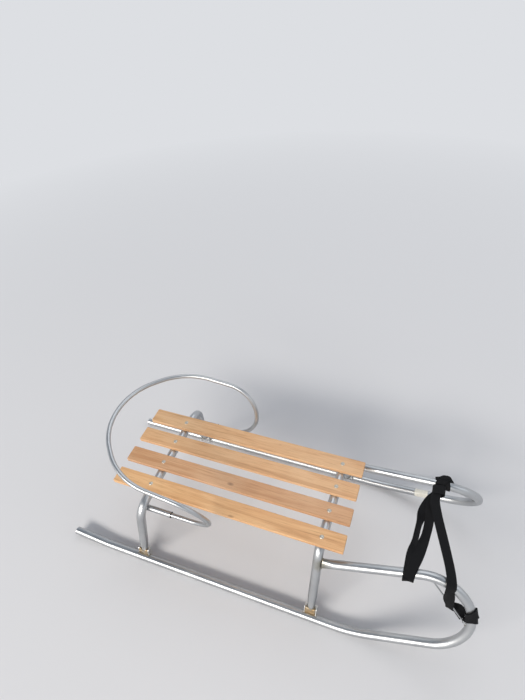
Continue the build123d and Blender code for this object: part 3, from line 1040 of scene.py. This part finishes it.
@dataclass
class Strap:
    """Pull strap of black webbing: knot, tow run, fold, turn and the two legs of the hand loop.

    The routes are points in metres, seen in the photograph. Widths gather where a leg leaves the knot.
    """

    left: Bow = field(default_factory=lambda: Bow(1))
    right: Bow = field(default_factory=lambda: Bow(-1))
    gathered: tuple[Pair, ...] = ((0.0, 0.7), (0.13, 1.0), (1.0, 1.0))
    knot_turns: tuple[Wrap, ...] = (
        Wrap("knot_turn_a", centre=87.0, skew=1.5, phase=90.0, radius=0.0123, width=0.0170),
        Wrap("knot_turn_b", centre=96.0, skew=1.5, phase=270.0, radius=0.0126, width=0.0170),
        Wrap("knot_turn_c", centre=91.5, skew=5.0, phase=300.0, radius=0.0146, width=0.0180),
    )
    turn_wraps: tuple[Wrap, ...] = (
        Wrap("turn_wrap_a", centre=13.0, skew=3.5, phase=90.0, radius=0.0122, width=0.022),
        Wrap("turn_wrap_b", centre=16.0, skew=6.5, phase=45.0, radius=0.0136, width=0.021),
    )
    crown_width: float = 0.0145
    crown_thickness: float = 0.0048
    waist_at: Point = (0.4262, 0.0960, 0.2490)
    waist_halves: Pair = (0.0152, 0.0104)
    waist_tilt: float = 0.12

    def build(self) -> None:
        """Makes the strap's pieces."""
        knot = self.knot()
        self.tow([knot, self.turn(), self.turn_wrap()])
        self.loop()
        log.info("strap: knot, tow, turn and hand loop")

    def tow(self, on_it: list[Object]) -> None:
        """Run from the knot over the right bow and down to the fold round the eye rod.

        Args:
            on_it: Pieces that go with this cord. Not used.
        """
        controls = [
            (0.4270, 0.0980, 0.2555),
            (0.4160, 0.0700, 0.2550),
            (0.4275, 0.0300, 0.2542),
            (0.4395, -0.0050, 0.2533),
            (0.4585, -0.0600, 0.2515),
            (0.4720, -0.1020, 0.2505),
            (0.4770, -0.1345, 0.2518),
            (0.4738, -0.1425, 0.2360),
            (0.4785, -0.1480, 0.2120),
            (0.4830, -0.1505, 0.1960),
            (0.4840, -0.1525, 0.1800),
            (0.4900, -0.1440, 0.1690),
            (0.4990, -0.1340, 0.1615),
        ]
        points = nurbs_points("strap_tow", controls)
        keys = [
            (0.0, Vector((0.0, 0.0, 1.0))),
            (0.3, Vector((0.25, 0.0, 1.0))),
            (0.62, Vector((0.4, 0.0, 1.0))),
            (0.73, Vector((0.4, -0.4, 0.85))),
            (0.80, Vector((0.15, -1.0, 0.2))),
            (0.90, Vector((-0.2, -1.0, 0.1))),
            (0.95, Vector((-0.4, -0.6, -0.7))),
            (1.0, Vector((0.15, 0.37, -0.92))),
        ]
        narrow = (*self.gathered[:2], (0.8, 1.0), (0.91, 0.6), (1.0, 0.7))
        piece = ribbon("strap_tow_webbing", points, keys, narrow=narrow)
        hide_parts("strap_tow", "strap_fall")

    def turn(self) -> Object:
        """Stretch behind the eye rod, from the fold to the wraps round the right curl.

        Returns:
            Its object.
        """
        bow = self.right
        first_angle, last_angle = 4.0, 10.0
        inner_turn = math.radians(205)
        controls = [
            (0.4940, -0.1370, 0.1640),
            (0.5055, -0.1350, 0.1580),
            (0.5150, -0.1412, 0.1560),
            tuple(bow.round_tube(first_angle, inner_turn, radius=0.0135)),
            tuple(bow.round_tube(8.0, math.radians(240), radius=0.0128)),
            tuple(bow.round_tube(last_angle, math.radians(280), radius=0.0126)),
        ]
        points = nurbs_points("strap_turn", controls)
        seen = Vector((-0.15, -0.37, 0.92))
        inner = bow.round_tube(first_angle, inner_turn, radius=0.01) - bow.round_tube(first_angle)
        last = points[-1] - bow.round_tube(last_angle)
        keys = [(0.0, seen), (0.35, seen), (0.62, inner), (1.0, last)]
        narrow = ((0.0, 0.65), (0.3, 1.0), (1.0, 1.0))
        piece = ribbon("strap_turn_webbing", points, keys, narrow=narrow)
        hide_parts("strap_turn")
        return piece

    def loop(self) -> None:
        """Two legs of the hand loop, twisted apart halfway and closed by a fold past the return tube."""
        lower = [
            (0.4260, 0.0980, 0.2425),
            (0.4080, 0.0680, 0.2430),
            (0.3940, 0.0250, 0.2435),
            (0.3900, -0.0200, 0.2440),
            (0.3868, -0.0650, 0.2445),
            (0.3840, -0.1050, 0.2456),
            (0.3842, -0.1480, 0.2466),
        ]
        upper = [
            (0.4290, 0.0980, 0.2485),
            (0.4130, 0.0680, 0.2482),
            (0.4135, 0.0250, 0.2478),
            (0.4120, -0.0200, 0.2474),
            (0.4046, -0.0580, 0.2472),
            (0.3990, -0.0900, 0.2478),
            (0.3880, -0.1250, 0.2487),
            (0.3848, -0.1460, 0.2490),
            (0.3844, -0.1500, 0.2478),
            (0.3844, -0.1484, 0.2466),
        ]
        level, flat = Vector((0.0, 0.0, 1.0)), Vector((-0.24, 0.0, 1.0))
        left_up, right_up = Vector((0.83, 0.0, 0.56)), Vector((-0.6, 0.0, 0.8))
        low_keys = [(0.0, level), (0.22, level), (0.46, left_up), (0.60, left_up), (0.84, flat), (1.0, flat)]
        top_keys = [(0.0, level), (0.2, level), (0.36, right_up), (0.5, right_up), (0.66, flat)]
        top_keys += [(0.985, flat), (0.993, Vector((0.0, -1.0, 0.0))), (1.0, -flat)]
        for name, controls, keys in (("lower", lower, low_keys), ("upper", upper, top_keys)):
            points = nurbs_points("strap_loop_" + name, controls)
            piece = ribbon(f"strap_loop_{name}_webbing", points, keys, narrow=self.gathered)
            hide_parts("strap_loop_" + name)

    def band(self, bow: Bow, wrap: Wrap) -> Object:
        """Lays one turn of webbing round a curl's tube, a little slack on three sides.

        Args:
            bow: Bow whose curl it goes round.
            wrap: The turn's place and size.

        Returns:
            Its object.
        """
        slack = 0.012
        points, outward = [], []
        for turn in round_steps(count=48):
            angle = wrap.centre + wrap.skew * math.cos(turn - math.radians(wrap.phase))
            reach = wrap.radius * (1 + slack * math.sin(3 * turn + wrap.centre))
            points.append(bow.round_tube(angle, turn, reach))
            outward.append((points[-1] - bow.round_tube(angle)).normalized())
        return ribbon(wrap.name, points, ring_keys(outward), width=wrap.width, closed=True)

    def knot(self) -> Object:
        """Knot round the left curl: turns round the tube, a crown over them and a band round the legs.

        Returns:
            The first turn, which carries the others.
        """
        first, *rest = [self.band(self.left, wrap) for wrap in self.knot_turns]
        crown_controls = [
            (0.4150, 0.1270, 0.2512),
            (0.4220, 0.1290, 0.2530),
            (0.4260, 0.1290, 0.2535),
            (0.4330, 0.1325, 0.2555),
            (0.4345, 0.1335, 0.2558),
            (0.4440, 0.1350, 0.2550),
            (0.4455, 0.1345, 0.2545),
            (0.4560, 0.1250, 0.2490),
        ]
        keys = [
            (0.0, Vector((-0.3, -0.3, 1.0))),
            (0.5, Vector((0.0, -0.6, 1.0))),
            (1.0, Vector((0.4, -0.2, 1.0))),
        ]
        crown = ribbon(
            "knot_crown",
            nurbs_points("knot_crown", crown_controls),
            keys,
            width=self.crown_width,
            thickness=self.crown_thickness,
            narrow=((0.0, 0.75), (0.2, 0.8), (0.42, 1.0), (0.72, 1.0), (1.0, 0.85)),
        )
        half_long, half_high = self.waist_halves
        ring, outward = [], []
        uneven, upright = 0.1, 1.5
        for turn in round_steps(count=40):
            x, z = math.cos(turn), math.sin(turn) * (1.0 + uneven * math.sin(3 * turn))
            out = Vector((x, self.waist_tilt * x, z))
            aside = Vector((half_long * out.x, half_long * out.y, half_high * out.z))
            ring.append(Vector(self.waist_at) + aside)
            outward.append(Vector((out.x, 0.0, upright * out.z)).normalized())
        waist = ribbon("knot_band", ring, ring_keys(outward), closed=True)
        for piece in (*rest, crown, waist):
            piece.parent = first
        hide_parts("strap_knot")
        return first

    def turn_wrap(self) -> Object:
        """Turns of webbing round the right curl.

        Returns:
            The first turn, which carries the other.
        """
        first, second = [self.band(self.right, wrap) for wrap in self.turn_wraps]
        second.parent = first
        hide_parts("strap_turn_wrap")
        return first


@dataclass(frozen=True)
class Lamp:
    """Rectangular area lamp: its middle, width and height in metres, and its power in watts."""

    name: str
    at: Point
    wide: float
    high: float
    power: float
    colour: str = "FFFFFF"


@dataclass
class Studio:
    """Pale floor, soft lamps and the camera at the photograph's viewing angle."""

    camera_at: Point = (0.3027, -0.6332, 1.3819)
    pitch: float = 43.50
    yaw: float = -23.99
    roll: float = 5.51
    focal_px: float = 485.26
    long_side_px: float = 700.0
    sensor_mm: float = 36.0
    floor_half: float = 30.0
    sky_strength: float = 0.38
    lamps_aim: Point = (0.05, 0.0, 0.15)
    lamps: tuple[Lamp, ...] = (
        Lamp("key", at=(-2.0, -6.4, 4.0), wide=7.0, high=1.4, power=640.0, colour="FFF9F1"),
        Lamp("fill", at=(2.6, 0.4, 2.4), wide=2.0, high=2.0, power=14.0),
        Lamp("top", at=(0.0, 2.0, 3.4), wide=3.0, high=3.0, power=40.0),
    )

    def build(self) -> None:
        """Makes the floor, lamps, world and camera."""
        self.floor()
        self.lights()
        self.world()
        self.camera()
        log.info("studio: floor, lamps, world and camera")

    def floor(self) -> None:
        """Large pale floor under the runners."""
        half = self.floor_half
        mesh = bpy.data.meshes.new("floor")
        corners = [(-half, -half, 0), (half, -half, 0), (half, half, 0), (-half, half, 0)]
        mesh.from_pydata(corners, [], [[0, 1, 2, 3]])
        mesh.materials.append(GROUND.material())
        floor = put_in("floor", mesh)

    def lights(self) -> None:
        """Long low key from the near side, a wide fill and a broad top light."""
        for lamp in self.lamps:
            light = bpy.data.lights.new(lamp.name, "AREA")
            light.shape = "RECTANGLE"
            light.size, light.size_y = lamp.wide, lamp.high
            light.energy = lamp.power
            light.color = linear(lamp.colour)[:3]
            holder = put_in(lamp.name, light)
            holder.location = lamp.at
            aim = Vector(self.lamps_aim) - Vector(lamp.at)
            holder.rotation_euler = aim.to_track_quat("-Z", "Y").to_euler()

    def world(self) -> None:
        """Pale surroundings for the camera and reflections, dimmer for lighting."""
        world = bpy.data.worlds.new("studio")
        bpy.context.scene.world = world
        world.use_nodes = True
        tree = world.node_tree
        tree.nodes.clear()
        way = add(tree, "SeparateXYZ", {0: add(tree, "TexCoord").outputs["Generated"]})
        rise = ((0.38, "DDDFE3"), (0.46, "B9C0C9"), (0.66, "6C7887"))
        pale = add(tree, "ValToRGB", {"Fac": way.outputs[2]}, rise)
        back = add(tree, "Background", {"Color": pale, "Strength": 1.0})
        light = add(tree, "Background", {"Color": linear("D5DCE8"), "Strength": self.sky_strength})
        mixed = add(tree, "MixShader", {0: seen_plainly(tree), 1: light, 2: back})
        add(tree, "OutputWorld", {"Surface": mixed})

    def camera(self) -> None:
        """Camera at the solved viewpoint."""
        pitch, yaw, roll = (math.radians(v) for v in (self.pitch, self.yaw, self.roll))
        level = math.cos(pitch)
        forward = Vector((math.sin(yaw) * level, math.cos(yaw) * level, -math.sin(pitch)))
        right = Vector((math.cos(yaw), -math.sin(yaw), 0))
        down = forward.cross(right)
        tip_cos, tip_sin = math.cos(roll), math.sin(roll)
        right, down = right * tip_cos + down * tip_sin, down * tip_cos - right * tip_sin
        turned = Matrix((right, -down, -forward)).transposed()
        data = bpy.data.cameras.new("camera")
        data.sensor_width = self.sensor_mm
        data.lens = self.focal_px / self.long_side_px * self.sensor_mm
        holder = put_in("camera", data)
        holder.matrix_world = Matrix.Translation(self.camera_at) @ turned.to_4x4()
        bpy.context.scene.camera = holder


def main() -> None:
    """Builds the dressed sled in order."""
    logging.basicConfig(level=logging.INFO, format="%(message)s")
    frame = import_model()
    bpy.context.scene.view_settings.view_transform = "Standard"
    Metalwork(frame).build()
    Welds().build()
    Seat(frame).build()
    Strap().build()
    Studio().build()


if __name__ == "__main__":
    main()
